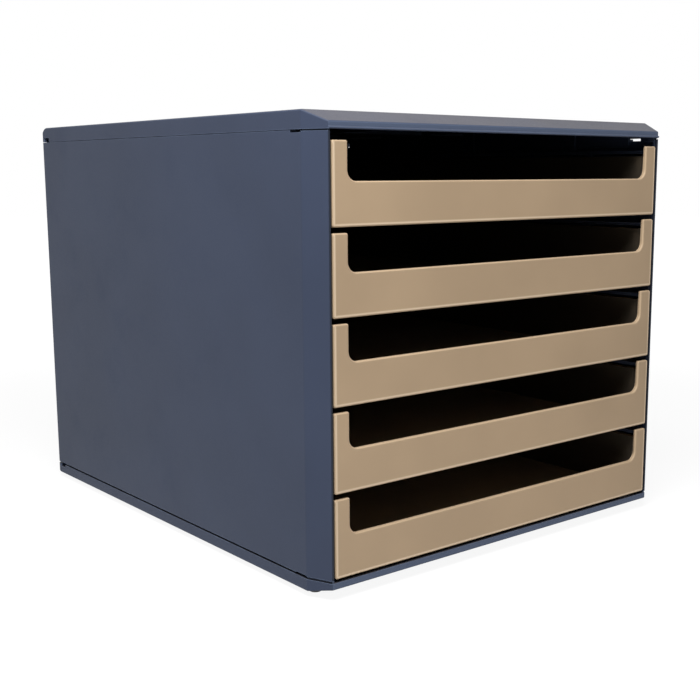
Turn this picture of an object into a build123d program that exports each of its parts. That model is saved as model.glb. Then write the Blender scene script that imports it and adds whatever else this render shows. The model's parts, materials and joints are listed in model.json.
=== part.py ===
from build123d import *
import os
from math import atan2, cos, radians, tan

# A desk drawer box for A4 papers and craft sheets: a snapped-together plastic casing
# of lid, base, two sides and back, on four feet, with five open-fronted drawers.
# X runs to the right, Y to the back and Z up. The origin is on the desk, under the
# middle of the box.

# Casing, over everything but the feet
casing_width = 275.0
casing_depth = 332.0
corner_inset = 6.0          # how far each side turns in towards the drawers
corner_depth = 15.0         # how far behind the front that turn begins
turn_radius = 4.0           # where the side begins to turn in
back_corner_radius = 3.0    # upright edges at the back
back_corner_crease = 0.1    # how far past the back wall the covers' corner arcs aim

# Moulded walls
cover_wall = 2.2            # lid and base
side_wall = 2.2
side_tip = 1.2              # the side's front edge, beside the drawer fronts
side_tip_radius = 0.5
back_wall = 2.0
fit = 0.2                   # clearance where casing panels push together
lid_gap = 0.35              # dark line between a side and the lid
base_gap = 1.3              # the same between a side and the base

# Lid
lid_height = 9.8
lid_lip_height = 3.9        # upright strip over the drawers
lid_back_radius = 8.0       # rounded top edge at the back
lid_edge_radius = 1.0       # softened outer edges
bead_height = 1.3           # drip bead along the bottom of the lid's front
bead_out = 0.6

# Base
base_height = 6.8
base_lip_height = 3.6
base_back_radius = 4.0
base_edge_radius = 0.8

# Slope that joins the front lip of the lid and base to their flat face
slope_depth = 15.0

# Feet
foot_drop = 3.4             # how far the feet lift the base off the desk
foot_radius = 3.8
foot_recess = 0.8           # depth of the seat in the base
foot_seat_fit = 0.3         # clearance round the foot in its seat
foot_chamfer = 0.6
foot_side_inset = 9.7       # foot centre from the casing's side
foot_end_inset = 20.5       # foot centre from the casing's front and back

# Drawer fronts
drawer_count = 5
front_height = 43.0
front_gap = 3.0             # between two drawer fronts
front_side_gap = 0.95       # front's end to the side's front edge
front_wall = 2.0
front_corner_radius = 1.2
front_edge_radius = 0.9
gap_over_base = 1.8         # base to the lowest front
gap_under_lid = 5.4         # highest front to the lid

# Finger cut-out in each front
front_post = 9.85           # what stands on each side of the cut-out
cut_depth = 20.2
cut_radius = 5.7
cut_mouth_radius = 1.0

# Drawer trays behind the fronts
tray_wall = 1.8
tray_draft = 1.2            # degrees that the walls lean outwards
tray_floor_lift = 1.2       # floor's underside above the front's bottom edge
tray_floor = 1.8
tray_corner_radius = 6.0
tray_floor_radius = 1.6     # between the floor and the walls, inside
tray_foot_chamfer = 1.2     # the same edge, outside
tray_back_gap = 2.0         # tray to the back panel when closed
rim_thickness = 1.8
rim_below_front = 6.2       # rim below the front's top edge
rim_side_gap = 1.1          # rim to the side's front edge, which it slides past
rim_back = 2.2              # rim past the tray's back wall

# Runners moulded on the sides
rim_rest = 3.25             # how far a rim lies over its runner
runner_thickness = 1.8
runner_clear_wall = 0.9     # runner's edge to the tray's wall
runner_lift = 0.3           # rim above the runner it slides on
runner_front_clear = 0.3    # runner's front end behind the drawer front
nub_height = 1.4            # nub on the rim's back end
nub_length = 12.0
nub_width = 2.0
nub_end_height = 0.2        # where the nub's slope ends, over the rim
nub_end_gap = 2.0           # nub to the rim's back end
nub_clear = 0.4             # nub to the guide rib above it
stop_length = 6.0
stop_clear_rim = 0.4        # stop lug above the rim
stop_slack = 0.5            # stop lug to the nub at full travel
drawer_travel = 255.0

# Tongues of the sides inside the lid and base, and the snap hooks that hold them
tongue_wall = 1.8
tongue_reach = 3.0          # above the shoulder of the side
tongue_root = 5.0           # below the shoulder of the side
tongue_front = 25.0         # tongue's ends from the front and from the back
tongue_back = 9.0
hook_count = 3              # along each side
hook_wall = 1.6
hook_width = 10.0
hook_nose = 1.1
hook_nose_height = 1.8

# Back flange of the sides, and the groove that holds the back panel
flange_wall = 2.2
flange_width = 6.5
groove_rib_wall = 1.8
groove_rib_width = 4.3
back_reach = 3.0            # back panel's edge up inside the lid and base

# Turned-in front corners of the sides, under the lid
corner_rebate = 0.5         # how far the seam widens there, on the outside
corner_rebate_depth = 0.9
corner_tongue_root = 1.6    # short tongue that shuts the seam behind the corner
corner_tongue_reach = 1.4
corner_tongue_clear = 0.3   # corner tongue to the drawer fronts, seen from the front

# Openings at the corners of the seams, where a flat blade lets the hooks go
front_slot_length = 9.5
lid_slot_height = 1.2       # cut into the side's top edge
base_slot_height = 0.5      # cut into the side's bottom edge
back_slot_length = 8.0
back_slot_end = 4.5         # from the back of the casing to the slot
lid_back_slot_height = 2.8
base_back_slot_height = 2.0

# Stiffening ribs inside the lid and base
rib_count = 3               # each way
rib_wall = 1.5
rib_depth = 2.6
rib_end_gap = 10.0          # rib's end to the hooks and to the rib at the back

# Places worked out from the sizes above
half_width = casing_width / 2
back_y = casing_depth / 2
front_y = -back_y + bead_out
turn = atan2(corner_inset, corner_depth)
base_low = foot_drop
base_rim = base_low + base_height
stack_low = base_rim + gap_over_base
drawer_pitch = front_height + front_gap
stack_high = stack_low + drawer_count * drawer_pitch - front_gap
lid_rim = stack_high + gap_under_lid
side_low = base_rim + base_gap
side_high = lid_rim - lid_gap
side_inner_x = half_width - side_wall
tip_inner_x = half_width - corner_inset - side_tip
front_width = 2 * (tip_inner_x - front_side_gap)
cut_width = front_width - 2 * front_post
tongue_front_y = front_y + tongue_front
tongue_back_y = back_y - tongue_back
tongue_outer_x = half_width - cover_wall - fit
tongue_inner_x = tongue_outer_x - tongue_wall
hook_outer_x = tongue_inner_x - fit
flange_front_y = back_y - flange_wall
back_panel_back_y = flange_front_y - fit
back_panel_front_y = back_panel_back_y - back_wall
groove_rib_back_y = back_panel_front_y - fit
groove_rib_front_y = groove_rib_back_y - groove_rib_wall
tray_height = front_height - rim_below_front
tray_spread = (tray_height - tray_floor_lift) * tan(radians(tray_draft))
tray_back_y = back_panel_front_y - tray_back_gap - rim_back
rim_bottom = tray_height - rim_thickness
rim_back_y = tray_back_y + rim_back
rim_half_width = tip_inner_x - rim_side_gap
runner_inner_x = rim_half_width - rim_rest
tray_half_inside = runner_inner_x - runner_clear_wall - tray_spread - tray_wall
runner_top = rim_bottom - runner_lift
runner_front_y = front_y + front_wall + runner_front_clear
guide_bottom = tray_height + nub_height + nub_clear
nub_front_y = rim_back_y - nub_end_gap - nub_length
stop_back_y = nub_front_y - drawer_travel - stop_slack
overlap = 0.5               # how deep joined lumps run into each other
cut_past = 1.0              # how far a cut runs past what it cuts


def block(x0, x1, y0, y1, z0, z1):
    """A straight block between two corners."""
    size = (x1 - x0, y1 - y0, z1 - z0)
    return Pos((x0 + x1) / 2, (y0 + y1) / 2, (z0 + z1) / 2) * Box(*size)


def evenly(count, low, high):
    """The middles of equal stretches between two places."""
    step = (high - low) / count
    return [low + (number + 0.5) * step for number in range(count)]


def both_sides(shape):
    """A shape on the right and its mirror image on the left."""
    return shape + mirror(shape, about=Plane.YZ)


def turned_x(y, inset):
    """Where the turned-in stretch of the casing, drawn in by inset, lies at y."""
    return half_width - corner_inset - inset / cos(turn) + (y - front_y) * tan(turn)


def turn_start_y(inset):
    """Where the straight side, drawn in by inset, meets the turned-in stretch."""
    return front_y + (corner_inset + inset / cos(turn) - inset) / tan(turn)


def casing_outline(inset):
    """The casing seen from above, drawn in by inset all round."""
    front = front_y + inset
    side = half_width - inset
    back = back_y - inset
    right = [
        (turned_x(front, inset), front),
        (side, turn_start_y(inset)),
        (side, back + back_corner_crease),
    ]
    left = [(-x, y) for x, y in reversed(right)]
    outline = make_face(Polyline(*right, *left, close=True))
    radius = back_corner_radius - inset
    if radius > 0:
        back_corners = outline.vertices().group_by(Axis.Y)[-1]
        outline = fillet(back_corners, radius)
    return outline & Pos(0, back - casing_depth) * Rectangle(2 * casing_width, 2 * casing_depth)


def cover_profile(inset, height, lip_height, back_radius, low):
    """Side view of a cover lying rim down on Z = 0, drawn in by inset."""
    slope = atan2(height - lip_height, slope_depth)
    front = front_y + inset
    top = height - inset
    lip_top = lip_height + inset * tan(slope) - inset / cos(slope)
    slope_end = front + (top - lip_top) / tan(slope)
    back = back_y - inset
    radius = back_radius - inset
    outline = Polyline((front, low), (front, lip_top), (slope_end, top), (back - radius, top))
    outline += RadiusArc((back - radius, top), (back, top - radius), radius)
    outline += Polyline((back, top - radius), (back, low), (front, low))
    return make_face(Plane.YZ * outline)


def cover_solid(inset, height, lip_height, back_radius, low):
    """The space inside a cover's skin at the given inset."""
    side_view = cover_profile(inset, height, lip_height, back_radius, low)
    along = extrude(side_view, amount=half_width, both=True)
    above = extrude(Pos(0, 0, low) * casing_outline(inset), amount=height - low)
    return along & above


def cover_ribs(height):
    """Stiffening ribs under a cover's skin, and the rib in front of the back panel."""
    top = height - cover_wall + overlap
    low = height - cover_wall - rib_depth
    back = groove_rib_front_y - rib_end_gap
    half = hook_outer_x - hook_wall - rib_end_gap
    ribs = [block(-half, half, groove_rib_front_y, groove_rib_back_y, 0, top)]
    for x in evenly(rib_count, -half, half):
        ribs.append(block(x - rib_wall / 2, x + rib_wall / 2, tongue_front_y, back, low, top))
    for y in evenly(rib_count, tongue_front_y, back):
        ribs.append(block(-half, half, y - rib_wall / 2, y + rib_wall / 2, low, top))
    return ribs


def snap_hook(height, gap):
    """A hook on the right of a cover, reaching below its rim to catch the side's tongue."""
    top = height - cover_wall + overlap
    catch = -tongue_root - gap - fit
    inner = hook_outer_x - hook_wall
    outline = Polyline(
        (inner, top),
        (hook_outer_x, top),
        (hook_outer_x, catch),
        (hook_outer_x + hook_nose, catch),
        (hook_outer_x, catch - hook_nose_height),
        (inner, catch - hook_nose_height),
        close=True,
    )
    return extrude(make_face(Plane.XZ * outline), amount=hook_width / 2, both=True)


def cover(height, lip_height, back_radius, edge_radius, gap, slot_height):
    """A lid or base lying rim down on Z = 0: skin, skirt, ribs, hooks and seam openings."""
    shell = cover_solid(0, height, lip_height, back_radius, 0)
    long_edges = shell.edges().filter_by(Axis.Y).group_by(Axis.Z)[-1]
    slope_end = front_y + slope_depth
    front_edges = [
        edge for edge in shell.edges()
        if edge.center().Y < slope_end + overlap and edge.center().Z > overlap
    ]
    shell = fillet(front_edges + long_edges, edge_radius)
    shell -= cover_solid(cover_wall, height, lip_height, back_radius, -cut_past)
    for rib in cover_ribs(height):
        shell += rib
    hook = snap_hook(height, gap)
    for y in evenly(hook_count, tongue_front_y, tongue_back_y):
        shell += both_sides(Pos(0, y, 0) * hook)
    slot_end = back_y - back_slot_end
    slot = block(
        half_width - cover_wall - fit, half_width + cut_past,
        slot_end - back_slot_length, slot_end,
        -cut_past, slot_height,
    )
    return shell - both_sides(slot)


def drip_bead():
    """The rounded bead along the bottom of the lid's front, between its turned corners."""
    low = (front_y, lid_rim)
    middle = (front_y - bead_out, lid_rim + bead_height / 2)
    high = (front_y, lid_rim + bead_height)
    root_y = front_y + cover_wall / 2
    outline = ThreePointArc(low, middle, high)
    outline += Polyline(high, (root_y, high[1]), (root_y, low[1]), low)
    section = make_face(Plane.YZ * outline)
    return extrude(section, amount=half_width - corner_inset, both=True)


def make_lid():
    lid = cover(
        lid_height, lid_lip_height, lid_back_radius, lid_edge_radius,
        lid_gap, lid_back_slot_height,
    )
    return Pos(0, 0, lid_rim) * lid + drip_bead()


def foot_places():
    """Middle of each foot, by name."""
    x = half_width - foot_side_inset
    y = back_y - foot_end_inset
    return {
        "foot_front_left": (-x, front_y + foot_end_inset),
        "foot_front_right": (x, front_y + foot_end_inset),
        "foot_back_left": (-x, y),
        "foot_back_right": (x, y),
    }


def standing_cylinder(radius, height):
    """A cylinder that stands on Z = 0."""
    return Cylinder(radius, height, align=(Align.CENTER, Align.CENTER, Align.MIN))


def make_base():
    rim_down = cover(
        base_height, base_lip_height, base_back_radius, base_edge_radius,
        base_gap, base_back_slot_height,
    )
    base = Pos(0, 0, base_rim) * mirror(rim_down, about=Plane.XY)
    seat = standing_cylinder(foot_radius + foot_seat_fit, foot_recess)
    for x, y in foot_places().values():
        base -= Pos(x, y, base_low) * seat
    return base


def make_foot(x, y):
    foot = standing_cylinder(foot_radius, foot_drop + foot_recess)
    rim = foot.edges().filter_by(GeomType.CIRCLE).group_by(Axis.Z)[0]
    return Pos(x, y, 0) * chamfer(rim, foot_chamfer)


def side_plan():
    """The right side's wall seen from above, with its back flange."""
    tip_back_y = front_y + (tip_inner_x - turned_x(front_y, side_wall)) / tan(turn)
    wall = make_face(Polyline(
        (tip_inner_x, front_y),
        (half_width - corner_inset, front_y),
        (half_width, front_y + corner_depth),
        (half_width, back_y),
        (half_width - flange_width, back_y),
        (half_width - flange_width, flange_front_y),
        (side_inner_x, flange_front_y),
        (side_inner_x, turn_start_y(side_wall)),
        (tip_inner_x, tip_back_y),
        close=True,
    ))
    turn_corner, back_corner = wall.vertices().group_by(Axis.X)[-1].sort_by(Axis.Y)
    wall = fillet(back_corner, back_corner_radius)
    wall = fillet(wall.vertices().sort_by_distance(turn_corner)[0], turn_radius)
    tip_corners = wall.vertices().group_by(Axis.Y)[0]
    return fillet(tip_corners, side_tip_radius)


def runner_plan(inner_x, start_y, end_y):
    """A rib on the right side seen from above, its root sunk into the wall."""
    return make_face(Polyline(
        (inner_x, start_y),
        (turned_x(start_y, side_wall / 2), start_y),
        (half_width - side_wall / 2, turn_start_y(side_wall / 2)),
        (half_width - side_wall / 2, end_y),
        (inner_x, end_y),
        close=True,
    ))


def drawer_runners(front_low):
    """Runner, guide rib and stop lug for the drawer whose front starts at front_low."""
    plan = runner_plan(runner_inner_x, runner_front_y, groove_rib_back_y - overlap)
    runner = extrude(Pos(0, 0, front_low + runner_top - runner_thickness) * plan, amount=runner_thickness)
    guide = extrude(Pos(0, 0, front_low + guide_bottom) * plan, amount=runner_thickness)
    stop = block(
        runner_inner_x, side_inner_x + overlap,
        stop_back_y - stop_length, stop_back_y,
        front_low + tray_height + stop_clear_rim, front_low + guide_bottom + overlap,
    )
    return runner + guide + stop


def side_tongue(shoulder, up, gap):
    """Tongue and its root at one edge of the right side. up is 1 at the top, -1 below."""
    length = (tongue_front_y, tongue_back_y)
    levels = sorted((shoulder - up * tongue_root, shoulder))
    root = block(tongue_inner_x, side_inner_x + overlap, *length, *levels)
    levels = sorted((shoulder - up * overlap, shoulder + up * (tongue_reach + gap)))
    return root + block(tongue_inner_x, tongue_outer_x, *length, *levels)


def corner_band(outer, inner, low, high):
    """A band of the right side's turned-in corner, between two insets and two levels."""
    plan = casing_outline(outer) - casing_outline(inner)
    clip = block(
        front_width / 2 + corner_tongue_clear, half_width + cut_past,
        front_y - cut_past, front_y + corner_depth,
        low, high,
    )
    return extrude(Pos(0, 0, low) * plan, amount=high - low) & clip


def corner_tongue():
    """Short tongue behind the top of the turned-in corner, up inside the lid."""
    outer = cover_wall + fit
    inner = outer + tongue_wall
    shoulder = side_high - corner_rebate
    root = corner_band(side_wall - overlap, inner, shoulder - corner_tongue_root, shoulder)
    return root + corner_band(outer, inner, shoulder - overlap, lid_rim + corner_tongue_reach)


def make_right_side():
    side = extrude(Pos(0, 0, side_low) * side_plan(), amount=side_high - side_low)
    side -= corner_band(-cut_past, corner_rebate_depth, side_high - corner_rebate, lid_rim)
    side += corner_tongue()
    side += side_tongue(side_high, 1, lid_gap)
    side += side_tongue(side_low, -1, base_gap)
    side += block(
        side_inner_x - groove_rib_width, side_inner_x + overlap,
        groove_rib_front_y, groove_rib_back_y,
        side_low, side_high,
    )
    for number in range(drawer_count):
        side += drawer_runners(stack_low + number * drawer_pitch)
    slot_start = front_y + corner_depth
    for edge, height in ((side_low, base_slot_height), (side_high, lid_slot_height)):
        side -= block(
            side_inner_x - cut_past, half_width + cut_past,
            slot_start, slot_start + front_slot_length,
            edge - height, edge + height,
        )
    return side


def make_back():
    half = side_inner_x - fit
    low = base_rim - back_reach
    high = lid_rim + back_reach
    panel = block(-half, half, back_panel_front_y, back_panel_back_y, low, high)
    return panel & extrude(Pos(0, 0, low) * casing_outline(cover_wall + fit), amount=high - low)


def front_plate():
    """Drawer front with its finger cut-out, its bottom edge on Z = 0."""
    plate = Pos(0, front_height / 2) * RectangleRounded(front_width, front_height, front_corner_radius)
    plate -= Pos(0, front_height) * RectangleRounded(cut_width, 2 * cut_depth, cut_radius)
    reach = cut_width / 2 + overlap
    mouth_corners = plate.vertices().filter_by_position(Axis.X, -reach, reach).group_by(Axis.Y)[-1]
    plate = fillet(mouth_corners, cut_mouth_radius)
    upright = Plane(origin=(0, front_y + front_wall, 0), x_dir=(1, 0, 0), z_dir=(0, -1, 0))
    solid = extrude(upright * plate, amount=front_wall)
    front_edges = solid.faces().sort_by(Axis.Y)[0].edges()
    return fillet(front_edges, front_edge_radius)


def tray_shape(wall, low, high, radius):
    """A leaning-walled block: the tray's inside, grown by wall."""
    lean = tan(radians(tray_draft))
    rise = low - tray_floor_lift
    half = tray_half_inside + wall + rise * lean
    front = front_y + front_wall + tray_spread - wall
    back = tray_back_y - tray_wall - tray_spread + wall + rise * lean
    front -= rise * lean
    foot = Pos(0, (front + back) / 2, low) * RectangleRounded(2 * half, back - front, radius)
    return extrude(foot, amount=high - low, taper=-tray_draft)


def tray_rim():
    """Rim turned outwards round the sides and back of the tray, with its end nubs."""
    rim = block(
        -rim_half_width, rim_half_width,
        front_y + front_wall - overlap, rim_back_y,
        rim_bottom, tray_height,
    )
    back_corners = rim.edges().filter_by(Axis.Z).group_by(Axis.Y)[-1]
    rim = fillet(back_corners, tray_corner_radius)
    nub = block(
        rim_half_width - nub_width, rim_half_width,
        nub_front_y, nub_front_y + nub_length,
        tray_height - overlap, tray_height + nub_height,
    )
    slope_edge = nub.edges().filter_by(Axis.X).group_by(Axis.Z)[-1].sort_by(Axis.Y)[-1]
    nub = chamfer(slope_edge, nub_height - nub_end_height)
    return rim, both_sides(nub)


def make_drawer(front_low):
    """One-piece drawer: front plate, tray and sliding rim."""
    tray = tray_shape(tray_wall, tray_floor_lift, tray_height, tray_corner_radius)
    tray = chamfer(tray.faces().sort_by(Axis.Z)[0].edges(), tray_foot_chamfer)
    rim, nubs = tray_rim()
    inside_low = tray_floor_lift + tray_floor
    inside = tray_shape(0, inside_low, tray_height + cut_past, tray_corner_radius - tray_wall)
    inside = fillet(inside.faces().sort_by(Axis.Z)[0].edges(), tray_floor_radius)
    tray = tray + rim - inside + nubs
    cut = block(
        -cut_width / 2, cut_width / 2,
        front_y + front_wall / 2, front_y + front_wall + tray_corner_radius,
        front_height - cut_depth, front_height + cut_past,
    )
    low_corners = cut.edges().filter_by(Axis.Y).group_by(Axis.Z)[0]
    tray -= fillet(low_corners, cut_radius)
    tray -= block(
        -half_width, half_width,
        front_y - cut_past, front_y + front_wall / 2,
        0, front_height,
    )
    return Pos(0, 0, front_low) * (tray + front_plate())


def all_parts():
    """Every piece of the drawer box, by name. The top drawer is number 1."""
    right = make_right_side()
    parts = {
        "lid": make_lid(),
        "base": make_base(),
        "right_side": right,
        "left_side": mirror(right, about=Plane.YZ),
        "back_panel": make_back(),
    }
    for name, place in foot_places().items():
        parts[name] = make_foot(*place)
    for number in range(1, drawer_count + 1):
        front_low = stack_low + (drawer_count - number) * drawer_pitch
        parts[f"drawer_{number}"] = make_drawer(front_low)
    return parts


os.makedirs("parts", exist_ok=True)
for part_name, shape in all_parts().items():
    export_step(shape, f"parts/{part_name}.step")
    size = shape.bounding_box().size
    print(f"{part_name}: {size.X:.1f} x {size.Y:.1f} x {size.Z:.1f} mm, {len(shape.solids())} solid")
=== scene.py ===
# Looks of the drawer box: its moulded plastics and rubber feet, a pale studio and the
# photograph's camera. Places are in metres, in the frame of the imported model. Values that
# are said to be in millimetres are turned into metres by MM where they are used.
import json
import math

import bmesh
import bpy
from mathutils import Matrix, Vector


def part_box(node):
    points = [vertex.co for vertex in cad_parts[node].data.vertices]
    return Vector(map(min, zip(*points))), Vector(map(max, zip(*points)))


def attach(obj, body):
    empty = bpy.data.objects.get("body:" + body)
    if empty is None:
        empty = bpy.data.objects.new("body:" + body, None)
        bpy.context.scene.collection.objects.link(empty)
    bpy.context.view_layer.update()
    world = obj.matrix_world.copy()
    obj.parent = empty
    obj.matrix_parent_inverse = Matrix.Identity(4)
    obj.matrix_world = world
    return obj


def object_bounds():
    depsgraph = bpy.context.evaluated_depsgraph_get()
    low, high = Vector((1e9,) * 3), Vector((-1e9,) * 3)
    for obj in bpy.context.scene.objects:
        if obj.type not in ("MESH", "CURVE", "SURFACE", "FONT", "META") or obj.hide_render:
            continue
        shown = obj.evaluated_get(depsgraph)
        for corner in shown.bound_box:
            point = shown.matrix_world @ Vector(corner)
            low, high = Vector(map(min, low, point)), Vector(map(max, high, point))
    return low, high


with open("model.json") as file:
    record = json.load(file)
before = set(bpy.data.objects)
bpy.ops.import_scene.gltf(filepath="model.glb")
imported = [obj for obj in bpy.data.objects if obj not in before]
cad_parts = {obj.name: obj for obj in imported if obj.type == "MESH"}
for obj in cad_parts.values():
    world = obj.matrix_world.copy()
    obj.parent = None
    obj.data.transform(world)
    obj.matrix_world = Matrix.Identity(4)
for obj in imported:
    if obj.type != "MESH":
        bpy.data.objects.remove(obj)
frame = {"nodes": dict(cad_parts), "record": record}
cad_low, cad_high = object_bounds()

MM = 0.001

# Colours, as linear red, green and blue
CASING_BLUE = (0.036, 0.047, 0.080)
# Lighter blue: wear on edges, and painted light on edges and on surfaces that face forwards
CASING_PAINTED_LIGHT_AND_WEAR = (0.115, 0.150, 0.230)
# Dust colour, also standing in for a painted sheen on surfaces that face up
DUST_AND_SHEEN = (0.14, 0.10, 0.04)
DRAWER_BEIGE = (0.385, 0.280, 0.180)
# Lighter beige: wear on edges, and painted highlights along the drawer fronts' edges
DRAWER_EDGE_WEAR_AND_HIGHLIGHT = (0.66, 0.52, 0.37)
# Painted shade colour for the inside of shut-in trays
DRAWER_PAINTED_SHADE = (0.030, 0.027, 0.022)
FOOT_GREY = (0.16, 0.16, 0.165)
FLOOR_PALE = (0.80, 0.80, 0.80)
WHITE = (1.0, 1.0, 1.0)

# Finish of both plastics. Scales are in patches to a metre, heights, widths and reaches in
# millimetres. A pair of values is where something begins and where it is full, or its range.
SATIN_GLOSS = 0.16
SATIN_ROUGHNESS = (0.44, 0.54)
NOISE_SPAN = (0.3, 0.7)         # where most of a noise's values lie
CLOUD_SCALE = 14.0
CLOUD_SHADE = (0.95, 1.05)
WAVE_SCALE = 9.0
WAVE_HEIGHT = 0.5
WAVE_STRENGTH = 0.5
GRAIN_SCALE = 1500.0
GRAIN_HEIGHT = 0.03
GRAIN_STRENGTH = 0.6
SCUFF_SCALE = 40.0
SCUFF_SPAN = (0.45, 0.75)
SCUFF_ROUGHNESS = 0.06          # added to the roughness where the plastic is scuffed
EDGE_WIDTH = 0.7                # how far wear and painted highlight reach from an edge
EDGE_LIKENESS = (0.98, 0.80)    # of the rounded and the true direction in which an edge faces
EDGE_WEAR_AND_HIGHLIGHT_SCALE = 90.0
EDGE_WEAR_AND_HIGHLIGHT_SPAN = (0.35, 0.6)
EDGE_WEAR_AND_HIGHLIGHT = (0.35, 1.0)
EDGE_POLISH = 0.08              # taken off the roughness where an edge is worn
CREVICE_REACH = 2.5             # from a facing surface, where the painted crevice shade begins
CREVICE_ROOM = (0.25, 0.75)     # share of open room, deep in a crevice and outside it
CREVICE_SHADE = 0.45            # what is left of the colour deep in a crevice

# Dust and painted sheen, on surfaces that face up
CASING_DUST_AND_SHEEN = 0.20              # share of the dust and painted sheen colour
DRAWER_DUST_AND_SHEEN = 0.03
DUST_AND_SHEEN_SCALE = 25.0
DUST_AND_SHEEN_PATCHES = (0.88, 1.12)
DUST_AND_SHEEN_LIES = (0.55, 0.95)        # how squarely a surface has to face up

# Casing, distances in millimetres
CASING_FRONT_LIGHT = 0.40            # share of the painted light colour on surfaces that face forwards
FRONT_LIGHT_FACING = (-0.80, -0.98)  # how squarely they have to, as the Y of their direction
TIP_SHADE = 0.75                # how far the painted shade darkens the sides' narrow front edges
TIP_ACROSS = (0.2, -0.1)        # from the tip outwards, where that shade begins and is full
TIP_BACK = (1.8, 1.3)           # the same, from the casing's front backwards
TIP_FADE = 0.3                  # over how much it fades at the lid and base

# Drawers, distances in millimetres
FRONT_BACK = (1.4, 0.9)         # from the front backwards, where its painted highlights begin and are full
FRONT_FLAT = (0.93, 0.995)      # how squarely a front's roundings and its flat face forwards
BORDER_LIGHT = 0.80             # share of the painted highlight colour along a front's ends and bottom
BORDER_WIDTH = 2.0
BORDER_FADE = 0.8
ROUNDING_LIGHT = 0.12           # share of the painted highlight colour on the fronts' roundings
INSIDE_BACK = (1.0, 2.0)        # from the front backwards, where a tray's shade begins and is full
INSIDE_REACH = 300.0            # how far open room is looked for
INSIDE_ROOM = (0.41, 0.30)      # share of open room where the shade begins and is full
INSIDE_SAMPLES = 24
INSIDE_SHADE = 0.94             # share of the painted shade colour on a tray's walls where it is shut in
FLOOR_SHADE = 0.25              # the same on its floor
FLOOR_LIES = (0.3, 0.9)         # how squarely walls and floors face up

# Feet
FOOT_MOTTLE_SCALE = 300.0
FOOT_MOTTLE = (0.85, 1.1)
FOOT_PORE_SCALE = 2500.0
FOOT_PORE_DEPTH = 0.05          # in millimetres
FOOT_ROUGHNESS = (0.7, 0.9)

# Camera, fitted to the straight edges of the box in the photograph
IMAGE_PIXELS = 700
FOCAL_PIXELS = 1111.4
CENTRE_PIXEL = (385.45, 358.89)
CAMERA_PLACE = (-0.46485, -0.60955, 0.22344)
CAMERA_AZIMUTH = -39.758
CAMERA_ELEVATION = 9.563
CAMERA_ROLL = -0.090
SENSOR_MM = 36.0

# Lips that close the seams behind the sides' turned-in front corners, in millimetres
CORNER_INSET = 6.0
CORNER_DEPTH = 15.0
TIP_WALL = 1.15                 # from the lip's inner edge to the outside of the side's tip
LID_SEAM = (244.03, 244.42)
BASE_SEAM = (10.18, 11.52)
LIP_OUTER = 1.0                 # how far the lip stands in from the outside of the casing
LIP_INNER = 2.1
LIP_FRONT = 0.4                 # the same at the front

# Studio
AMBIENT = 0.10
KEY_AZIMUTH = -45
KEY_ELEVATION = 52
KEY_DISTANCE = 0.85
KEY_SIZE = 0.45
KEY_WATTS = 11.5
FLOOR_RADIUS = 5.0
FLOOR_SEGMENTS = 96
FLOOR_CLOUD_SCALE = 2.0
FLOOR_CLOUD = (0.97, 1.0)
FLOOR_ROUGHNESS = 0.9
FLOOR_GLOW = 1.05               # strength of the white that the camera sees on the floor
FLOOR_WHITENESS = 0.87          # share of that white on the floor near the box
WHITENESS_GROWS = (0.40, 0.90)  # distances from the box's middle between which it becomes all


def add(tree, kind, inputs=None, **settings):
    """A new node with its settings, and a value or a link for each named input."""
    made = tree.nodes.new(kind)
    for name, value in settings.items():
        setattr(made, name, value)
    for key, value in (inputs or {}).items():
        if isinstance(value, bpy.types.NodeSocket):
            tree.links.new(value, made.inputs[key])
        else:
            made.inputs[key].default_value = value
    return made


def new_material(name):
    """A material, its node tree and its shader."""
    material = bpy.data.materials.new(name)
    material.use_nodes = True
    tree = material.node_tree
    return material, tree, tree.nodes["Principled BSDF"]


def object_place(tree):
    return add(tree, "ShaderNodeTexCoord").outputs["Object"]


def parts_of(tree, vector):
    """The X, Y and Z of a place or a direction."""
    return add(tree, "ShaderNodeSeparateXYZ", {"Vector": vector}).outputs


def facing(tree, axis):
    """How squarely the surface faces along an axis, from -1 to 1."""
    return parts_of(tree, add(tree, "ShaderNodeTexCoord").outputs["Normal"])[axis]


def noise(tree, place, scale, detail=2.0, roughness=0.5):
    """Cloudy noise, scale times a metre, from 0 to 1."""
    inputs = {"Vector": place, "Scale": scale, "Detail": detail, "Roughness": roughness}
    return add(tree, "ShaderNodeTexNoise", inputs).outputs["Fac"]


def remap(tree, value, low, high, to_low=0.0, to_high=1.0):
    """Value drawn smoothly from one range to another, held at its ends."""
    inputs = {"Value": value, "From Min": low, "From Max": high, "To Min": to_low, "To Max": to_high}
    return add(tree, "ShaderNodeMapRange", inputs, interpolation_type="SMOOTHSTEP").outputs["Result"]


def math_node(tree, operation, first, second=0.0):
    return add(tree, "ShaderNodeMath", {0: first, 1: second}, operation=operation).outputs["Value"]


def product(tree, first, *others):
    """All the values multiplied."""
    for other in others:
        first = math_node(tree, "MULTIPLY", first, other)
    return first


def scaled(tree, colour, factor):
    """Colour made darker or lighter by a factor."""
    return add(tree, "ShaderNodeVectorMath", {0: colour, 3: factor}, operation="SCALE").outputs["Vector"]


def mix_colour(tree, amount, first, second):
    """First colour drawn towards the second by amount."""
    made = add(tree, "ShaderNodeMix", {"Factor": amount}, data_type="RGBA")
    for socket, colour in ((made.inputs[6], first), (made.inputs[7], second)):
        if isinstance(colour, bpy.types.NodeSocket):
            tree.links.new(colour, socket)
        else:
            socket.default_value = (*colour, 1.0)
    return made.outputs[2]


def bump(tree, height, distance, strength=1.0, normal=None):
    """The surface's direction with a relief of that distance, in metres, on top of another."""
    inputs = {"Height": height, "Distance": distance, "Strength": strength}
    if normal is not None:
        inputs["Normal"] = normal
    return add(tree, "ShaderNodeBump", inputs).outputs["Normal"]


def beyond(start, distances):
    """Places some millimetres beyond a start that is in metres."""
    return [start + distance * MM for distance in distances]


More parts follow.
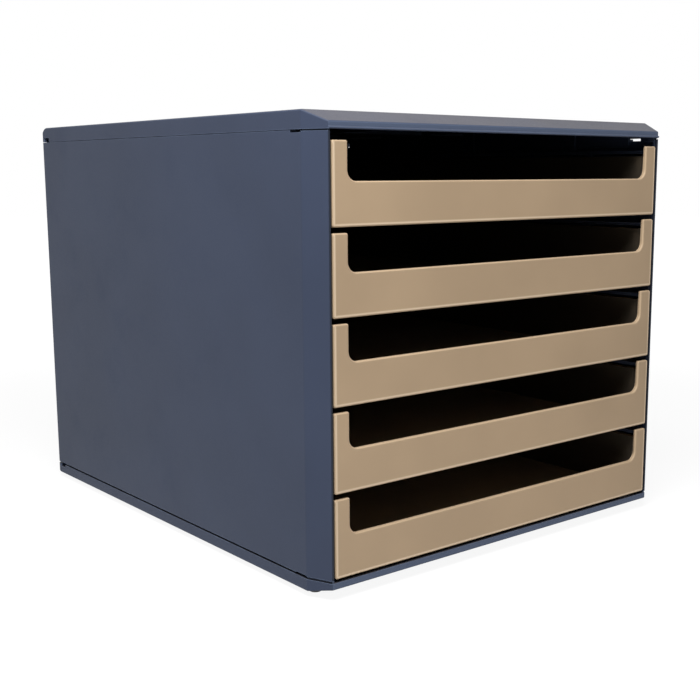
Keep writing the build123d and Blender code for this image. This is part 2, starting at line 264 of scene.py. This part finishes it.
def sharp_edges(tree):
    """1 on sharp outer and inner edges, fading to 0 beside them."""
    rounded = add(tree, "ShaderNodeBevel", {"Radius": EDGE_WIDTH * MM}, samples=6).outputs["Normal"]
    true = add(tree, "ShaderNodeNewGeometry").outputs["Normal"]
    alike = add(tree, "ShaderNodeVectorMath", {0: rounded, 1: true}, operation="DOT_PRODUCT")
    return remap(tree, alike.outputs["Value"], *EDGE_LIKENESS)


def open_room(tree, reach, samples=8):
    """1 where nothing stands within reach in front of the surface, down to 0 where all is shut in."""
    return add(tree, "ShaderNodeAmbientOcclusion", {"Distance": reach * MM}, samples=samples).outputs["AO"]


def painted_crevice_shade(tree, colour):
    """Colour with painted shade, darker where another surface stands close: seams, corners and narrow
    gaps.
    """
    left = remap(tree, open_room(tree, CREVICE_REACH), *CREVICE_ROOM, CREVICE_SHADE, 1.0)
    return scaled(tree, colour, left)


def dusted_and_sheened(tree, place, colour, amount):
    """Colour under a thin warm veil of dust and painted sheen, only where the surface faces up."""
    lying = remap(tree, facing(tree, "Z"), *DUST_AND_SHEEN_LIES)
    patches = remap(tree, noise(tree, place, DUST_AND_SHEEN_SCALE, 5.0, 0.65), *NOISE_SPAN, *DUST_AND_SHEEN_PATCHES)
    return mix_colour(tree, product(tree, lying, patches, amount), colour, DUST_AND_SHEEN)


def satin_plastic(tree, shader, place, colour, wear_and_highlight_colour, dust_and_sheen):
    """Gives the shader a satin grain, flow and scuffs, and returns the colour with faint clouds,
    dust and painted sheen on top, painted shade in crevices, and edges lighter from wear and painted
    highlight."""
    clouds = remap(tree, noise(tree, place, CLOUD_SCALE, 3.0), *NOISE_SPAN, *CLOUD_SHADE)
    cloudy = dusted_and_sheened(tree, place, scaled(tree, colour, clouds), dust_and_sheen)
    wear_and_highlight_here = remap(tree, noise(tree, place, EDGE_WEAR_AND_HIGHLIGHT_SCALE, 4.0), *EDGE_WEAR_AND_HIGHLIGHT_SPAN, *EDGE_WEAR_AND_HIGHLIGHT)
    # edges lighter from wear and painted highlight; the same mask smooths the worn edges' roughness
    wear_and_highlight = product(tree, sharp_edges(tree), wear_and_highlight_here)
    grain = noise(tree, place, GRAIN_SCALE, 3.0, 0.6)
    scuffs = remap(tree, noise(tree, place, SCUFF_SCALE, 5.0, 0.7), *SCUFF_SPAN)
    rough = remap(tree, grain, *NOISE_SPAN, *SATIN_ROUGHNESS)
    rough = math_node(tree, "ADD", rough, product(tree, scuffs, SCUFF_ROUGHNESS))
    rough = math_node(tree, "SUBTRACT", rough, product(tree, wear_and_highlight, EDGE_POLISH))
    tree.links.new(rough, shader.inputs["Roughness"])
    shader.inputs["Specular IOR Level"].default_value = SATIN_GLOSS
    waves = bump(tree, noise(tree, place, WAVE_SCALE, 1.0), WAVE_HEIGHT * MM, WAVE_STRENGTH)
    relief = bump(tree, grain, GRAIN_HEIGHT * MM, GRAIN_STRENGTH, waves)
    tree.links.new(relief, shader.inputs["Normal"])
    return painted_crevice_shade(tree, mix_colour(tree, wear_and_highlight, cloudy, wear_and_highlight_colour))


def casing_plastic():
    """Blue-grey plastic, with painted light on surfaces that face forwards and painted shade on the sides'
    front edges.
    """
    material, tree, shader = new_material("casing_plastic")
    place = object_place(tree)
    plain = satin_plastic(tree, shader, place, CASING_BLUE, CASING_PAINTED_LIGHT_AND_WEAR, CASING_DUST_AND_SHEEN)
    # painted light: surfaces that face forwards are drawn towards the lighter colour
    in_front = remap(tree, facing(tree, "Y"), *FRONT_LIGHT_FACING, 0.0, CASING_FRONT_LIGHT)
    front_lit = mix_colour(tree, in_front, plain, CASING_PAINTED_LIGHT_AND_WEAR)
    # painted shade on the sides' narrow front edges
    left = remap(tree, side_tips(tree, place), 0.0, 1.0, 1.0, 1.0 - TIP_SHADE)
    tree.links.new(scaled(tree, front_lit, left), shader.inputs["Base Color"])
    return material


def side_tips(tree, place):
    """1 on the sides' narrow front edges, which get a painted shade as if cast by the drawer fronts."""
    side_low, side_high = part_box("right_side")
    tip = side_high.x - CORNER_INSET * MM
    parts = parts_of(tree, place)
    inward = remap(tree, math_node(tree, "ABSOLUTE", parts["X"]), *beyond(tip, TIP_ACROSS))
    at_front = remap(tree, parts["Y"], *beyond(side_low.y, TIP_BACK))
    over_base = remap(tree, parts["Z"], BASE_SEAM[1] * MM, (BASE_SEAM[1] + TIP_FADE) * MM)
    under_lid = remap(tree, parts["Z"], LID_SEAM[0] * MM, (LID_SEAM[0] - TIP_FADE) * MM)
    return product(tree, inward, at_front, over_base, under_lid)


def drawer_plastic():
    """Beige plastic, with painted shade inside the trays and painted highlights along the edges of the
    fronts.
    """
    material, tree, shader = new_material("drawer_plastic")
    place = object_place(tree)
    plain = satin_plastic(tree, shader, place, DRAWER_BEIGE, DRAWER_EDGE_WEAR_AND_HIGHLIGHT, DRAWER_DUST_AND_SHEEN)
    # painted shade inside the shut-in trays
    shaded = mix_colour(tree, tray_shade(tree, place), plain, DRAWER_PAINTED_SHADE)
    # painted highlights along the fronts' ends, bottoms and roundings
    lit = mix_colour(tree, front_edge_highlights(tree, place), shaded, DRAWER_EDGE_WEAR_AND_HIGHLIGHT)
    tree.links.new(lit, shader.inputs["Base Color"])
    return material


def tray_shade(tree, place):
    """How much painted shade a tray gets where it is shut in, behind its front: its walls more than its
    floor.
    """
    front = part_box("drawer_1")[0].y
    behind = remap(tree, parts_of(tree, place)["Y"], *beyond(front, INSIDE_BACK))
    shut_in = remap(tree, open_room(tree, INSIDE_REACH, INSIDE_SAMPLES), *INSIDE_ROOM)
    level = math_node(tree, "ABSOLUTE", facing(tree, "Z"))
    share = remap(tree, level, *FLOOR_LIES, INSIDE_SHADE, FLOOR_SHADE)
    return product(tree, shut_in, behind, share)


def front_edge_highlights(tree, place):
    """How much painted highlight a drawer front's edges get: a border at its ends and bottom, and its
    roundings.
    """
    low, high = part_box("drawer_5")
    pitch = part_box("drawer_4")[0].z - low.z
    parts = parts_of(tree, place)
    near_front = remap(tree, parts["Y"], *beyond(low.y, FRONT_BACK))
    begins = BORDER_WIDTH * MM
    full = (BORDER_WIDTH - BORDER_FADE) * MM
    at_end = remap(tree, math_node(tree, "ABSOLUTE", parts["X"]), high.x - begins, high.x - full)
    over_lowest = math_node(tree, "SUBTRACT", parts["Z"], low.z)
    over_bottom = math_node(tree, "FLOORED_MODULO", over_lowest, pitch)
    at_bottom = remap(tree, over_bottom, begins, full)
    bordered = math_node(tree, "MAXIMUM", at_end, at_bottom)
    flat = math_node(tree, "ABSOLUTE", facing(tree, "Y"))
    border = product(tree, bordered, remap(tree, flat, *FRONT_FLAT, 0.0, BORDER_LIGHT))
    rounding = remap(tree, flat, *reversed(FRONT_FLAT), 0.0, ROUNDING_LIGHT)
    return product(tree, near_front, math_node(tree, "MAXIMUM", border, rounding))


def foot_rubber():
    """Grey rubber, faintly mottled and full of fine pores."""
    material, tree, shader = new_material("foot_rubber")
    place = object_place(tree)
    mottle = remap(tree, noise(tree, place, FOOT_MOTTLE_SCALE, 4.0), *NOISE_SPAN, *FOOT_MOTTLE)
    tree.links.new(scaled(tree, FOOT_GREY, mottle), shader.inputs["Base Color"])
    pores = noise(tree, place, FOOT_PORE_SCALE, 3.0)
    tree.links.new(remap(tree, pores, *NOISE_SPAN, *FOOT_ROUGHNESS), shader.inputs["Roughness"])
    tree.links.new(bump(tree, pores, FOOT_PORE_DEPTH * MM), shader.inputs["Normal"])
    return material


def seen_or_mirrored(tree):
    """1 for what the camera or a glossy surface sees, 0 for the light that reaches the box."""
    seen = add(tree, "ShaderNodeLightPath").outputs
    return math_node(tree, "MAXIMUM", seen["Is Camera Ray"], seen["Is Glossy Ray"])


def floor_material():
    """A pale floor that the camera sees as white, with the box's shadow left on it."""
    material, tree, shader = new_material("studio_floor")
    place = object_place(tree)
    clouds = remap(tree, noise(tree, place, FLOOR_CLOUD_SCALE), *NOISE_SPAN, *FLOOR_CLOUD)
    tree.links.new(scaled(tree, FLOOR_PALE, clouds), shader.inputs["Base Color"])
    shader.inputs["Roughness"].default_value = FLOOR_ROUGHNESS
    glow = {"Color": (*WHITE, 1.0), "Strength": FLOOR_GLOW}
    white = add(tree, "ShaderNodeEmission", glow).outputs["Emission"]
    away = add(tree, "ShaderNodeVectorMath", {0: place}, operation="LENGTH").outputs["Value"]
    whiteness = remap(tree, away, *WHITENESS_GROWS, FLOOR_WHITENESS, 1.0)
    amount = product(tree, seen_or_mirrored(tree), whiteness)
    both = add(tree, "ShaderNodeMixShader", {0: amount, 1: shader.outputs["BSDF"], 2: white})
    tree.links.new(both.outputs["Shader"], tree.nodes["Material Output"].inputs["Surface"])
    return material


def dress(material, nodes):
    """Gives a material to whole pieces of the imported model."""
    for name in nodes:
        for slot in frame["nodes"][name].material_slots:
            slot.material = material


def lip_plan():
    """The lip behind the right side's turned-in corner, seen from above, in metres."""
    side_low, side_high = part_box("right_side")
    front = side_low.y
    tip = side_high.x - CORNER_INSET * MM
    lean = CORNER_INSET / CORNER_DEPTH
    slant = math.hypot(1.0, lean)

    def turned(depth, inset):
        return tip + (depth * lean - inset * slant) * MM, front + depth * MM

    inner_x = tip - TIP_WALL * MM
    inner_start = (LIP_INNER * slant - TIP_WALL) / lean
    return [
        (inner_x, front + LIP_FRONT * MM),
        turned(LIP_FRONT, LIP_FRONT),
        turned(LIP_FRONT + LIP_OUTER, LIP_OUTER),
        turned(CORNER_DEPTH, LIP_OUTER),
        turned(CORNER_DEPTH, LIP_INNER),
        turned(inner_start, LIP_INNER),
    ]


def seam_lips(material):
    """Four short lips of the casing that keep light out of the seams at its front corners."""
    shape = bmesh.new()
    for low, high in (BASE_SEAM, LID_SEAM):
        for hand in (-1, 1):
            corners = [shape.verts.new((hand * x, y, low * MM)) for x, y in lip_plan()]
            bottom = shape.faces.new(corners)
            grown = bmesh.ops.extrude_face_region(shape, geom=[bottom])["geom"]
            raised = [part for part in grown if isinstance(part, bmesh.types.BMVert)]
            bmesh.ops.translate(shape, verts=raised, vec=(0.0, 0.0, (high - low) * MM))
    bmesh.ops.recalc_face_normals(shape, faces=shape.faces)
    lips = placed_piece("seam_lips", shape, material)
    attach(lips, "casing")


def lay_floor():
    """The round floor that the box stands on, which is no part of it."""
    shape = bmesh.new()
    bmesh.ops.create_circle(shape, cap_ends=True, segments=FLOOR_SEGMENTS, radius=FLOOR_RADIUS)
    floor = placed_piece("floor", shape, floor_material())


def placed_piece(name, shape, material):
    """A shape made an object of the scene, with its material."""
    mesh = bpy.data.meshes.new(name)
    shape.to_mesh(mesh)
    shape.free()
    mesh.materials.append(material)
    piece = bpy.data.objects.new(name, mesh)
    bpy.context.scene.collection.objects.link(piece)
    return piece


def soft_light(name, place, aim, size, watts):
    """A square soft box that looks at aim."""
    lamp = bpy.data.lights.new(name, "AREA")
    lamp.shape = "SQUARE"
    lamp.size = size
    lamp.energy = watts
    holder = bpy.data.objects.new(name, lamp)
    holder.location = place
    holder.rotation_euler = (Vector(aim) - Vector(place)).to_track_quat("-Z", "Y").to_euler()
    holder.visible_camera = False
    bpy.context.scene.collection.objects.link(holder)


def surround():
    """White for what the camera and gloss see, a softer level for the light it gives."""
    world = bpy.data.worlds.new("studio")
    bpy.context.scene.world = world
    world.use_nodes = True
    tree = world.node_tree
    background = tree.nodes["Background"]
    background.inputs["Color"].default_value = (*WHITE, 1.0)
    strength = remap(tree, seen_or_mirrored(tree), 0.0, 1.0, AMBIENT, 1.0)
    tree.links.new(strength, background.inputs["Strength"])


def direction(azimuth, elevation):
    """From the box towards a lamp or the camera; azimuth 0 is straight in front."""
    turn = math.radians(azimuth)
    rise = math.radians(elevation)
    return Vector((math.sin(turn) * math.cos(rise), -math.cos(turn) * math.cos(rise), math.sin(rise)))


def place_camera():
    """The photograph's camera; its shift puts the view's centre where the fit has it."""
    back = direction(CAMERA_AZIMUTH, CAMERA_ELEVATION)
    lens = bpy.data.cameras.new("camera")
    lens.sensor_width = SENSOR_MM
    lens.lens = FOCAL_PIXELS / IMAGE_PIXELS * SENSOR_MM
    lens.shift_x = (IMAGE_PIXELS / 2 - CENTRE_PIXEL[0]) / IMAGE_PIXELS
    lens.shift_y = (CENTRE_PIXEL[1] - IMAGE_PIXELS / 2) / IMAGE_PIXELS
    camera = bpy.data.objects.new("camera", lens)
    look = (-back).to_track_quat("-Z", "Y").to_matrix().to_4x4()
    roll = Matrix.Rotation(math.radians(CAMERA_ROLL), 4, "Z")
    camera.matrix_world = Matrix.Translation(CAMERA_PLACE) @ look @ roll
    bpy.context.scene.collection.objects.link(camera)
    bpy.context.scene.camera = camera


finishes = {
    "casing_plastic": casing_plastic(),
    "drawer_plastic": drawer_plastic(),
    "foot_rubber": foot_rubber(),
}
for slot_name, finish in finishes.items():
    subparts = frame["record"]["subparts"]
    dress(finish, [part["node"] for part in subparts if part["material_slot"] == slot_name])

seam_lips(finishes["casing_plastic"])
lay_floor()
surround()
middle = (cad_low + cad_high) / 2
key_place = middle + KEY_DISTANCE * direction(KEY_AZIMUTH, KEY_ELEVATION)
soft_light("key", key_place, middle, KEY_SIZE, KEY_WATTS)
place_camera()
bpy.context.scene.view_settings.view_transform = "Standard"
